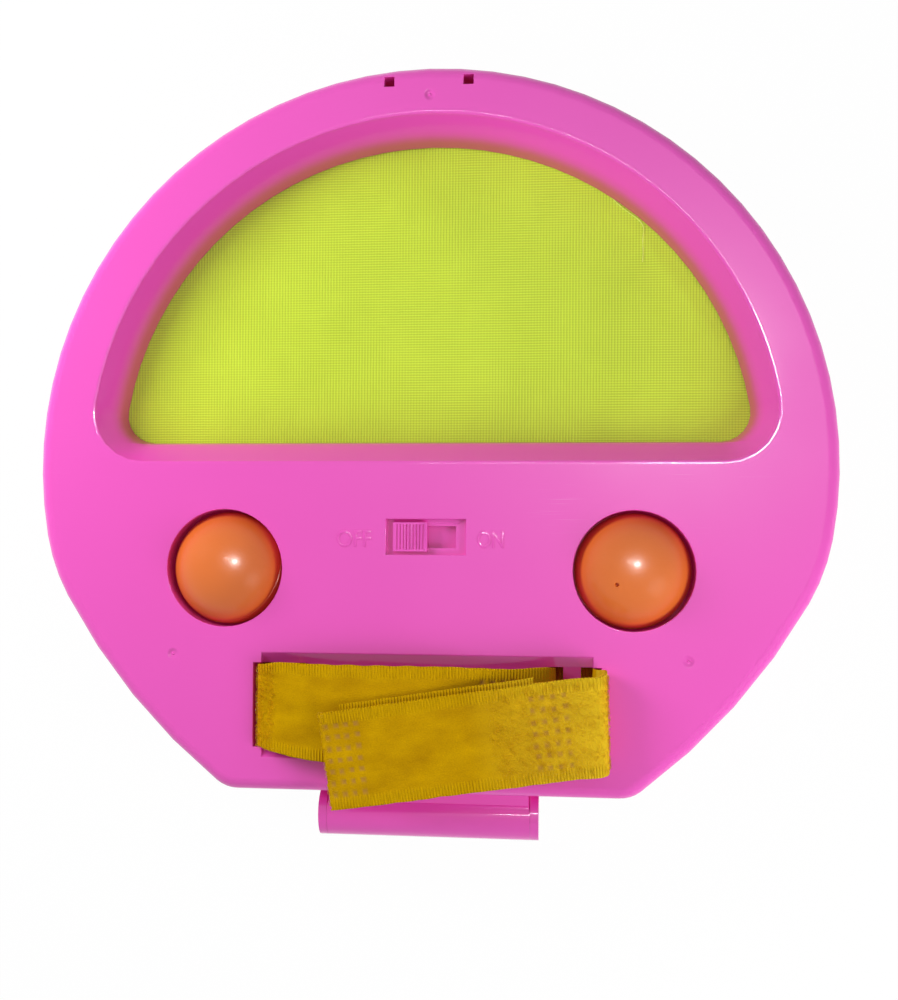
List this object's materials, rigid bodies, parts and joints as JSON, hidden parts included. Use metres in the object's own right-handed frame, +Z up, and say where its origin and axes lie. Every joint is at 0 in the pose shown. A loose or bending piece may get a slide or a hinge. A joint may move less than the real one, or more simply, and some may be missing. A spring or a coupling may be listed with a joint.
{
  "type": "folding drum pad",
  "caption": "Hand-strapped electronic drum pad that folds like a clam, with a recessed fabric pad in each half, stored balls, a slide switch and a hook-and-loop strap.",
  "frame": {"origin": "middle of the closed object's box, on the flat face of the front half that it lies on", "axes": "+Z up out of the strap side, +Y from the hinge to the latch, +X to the right as the strap side is seen"},
  "size_m": [0.2086, 0.2028, 0.0403],
  "materials": {
    "pink_plastic": "satin",
    "lime_fabric": "fine knit",
    "orange_plastic": "satin",
    "yellow_webbing": "woven",
    "steel": "plated",
    "board_green": "solder mask",
    "black_plastic": "matte",
    "red_insulation": "satin",
    "brass": "bright",
    "speaker_film": "film"
  },
  "bodies": {
    "front_half": {"front_bezel": "pink_plastic", "front_fabric": "lime_fabric", "front_panel": "pink_plastic", "front_screw_1": "steel", "front_screw_2": "steel", "front_screw_3": "steel", "front_screw_4": "steel", "front_screw_5": "steel", "front_shell": "pink_plastic", "hinge_pin": "steel"},
    "rear_half": {"battery_contact_left": "brass", "battery_contact_right": "brass", "battery_door": "pink_plastic", "battery_lead_black": "black_plastic", "battery_lead_red": "red_insulation", "battery_tray": "black_plastic", "board_screw_left": "steel", "board_screw_right": "steel", "button_cell_1": "steel", "button_cell_2": "steel", "button_cell_3": "steel", "circuit_board": "board_green", "door_screw": "steel", "hand_strap": "yellow_webbing", "impact_sensor": "brass", "rear_bezel": "pink_plastic", "rear_fabric": "lime_fabric", "rear_panel": "pink_plastic", "rear_screw_1": "steel", "rear_screw_2": "steel", "rear_screw_3": "steel", "rear_screw_4": "steel", "rear_screw_5": "steel", "rear_shell": "pink_plastic", "sensor_lead": "black_plastic", "sound_chip": "black_plastic", "speaker_cone": "speaker_film", "speaker_frame": "steel", "speaker_lead_black": "black_plastic", "speaker_lead_red": "red_insulation", "speaker_magnet": "steel"},
    "power_slide": {"switch_knob": "pink_plastic", "switch_slider": "pink_plastic", "switch_contact": "brass"},
    "left_ball_body": {"left_ball": "orange_plastic"},
    "right_ball_body": {"right_ball": "orange_plastic"}
  },
  "joints": [
    {"name": "fold_hinge", "type": "hinge", "parent": "front_half", "child": "rear_half", "pos_m": [0, -0.0952, 0.01525], "axis": [1, 0, 0], "range_deg": [0, 135]},
    {"name": "power_switch", "type": "slide", "parent": "rear_half", "child": "power_slide", "axis": [1, 0, 0], "range_m": [0, 0.0082]},
    {"name": "left_ball_lift", "type": "slide", "parent": "front_half", "child": "left_ball_body", "axis": [0, 0, 1], "range_m": [0, 0.04]},
    {"name": "right_ball_lift", "type": "slide", "parent": "front_half", "child": "right_ball_body", "axis": [0, 0, 1], "range_m": [0, 0.04]}
  ]
}
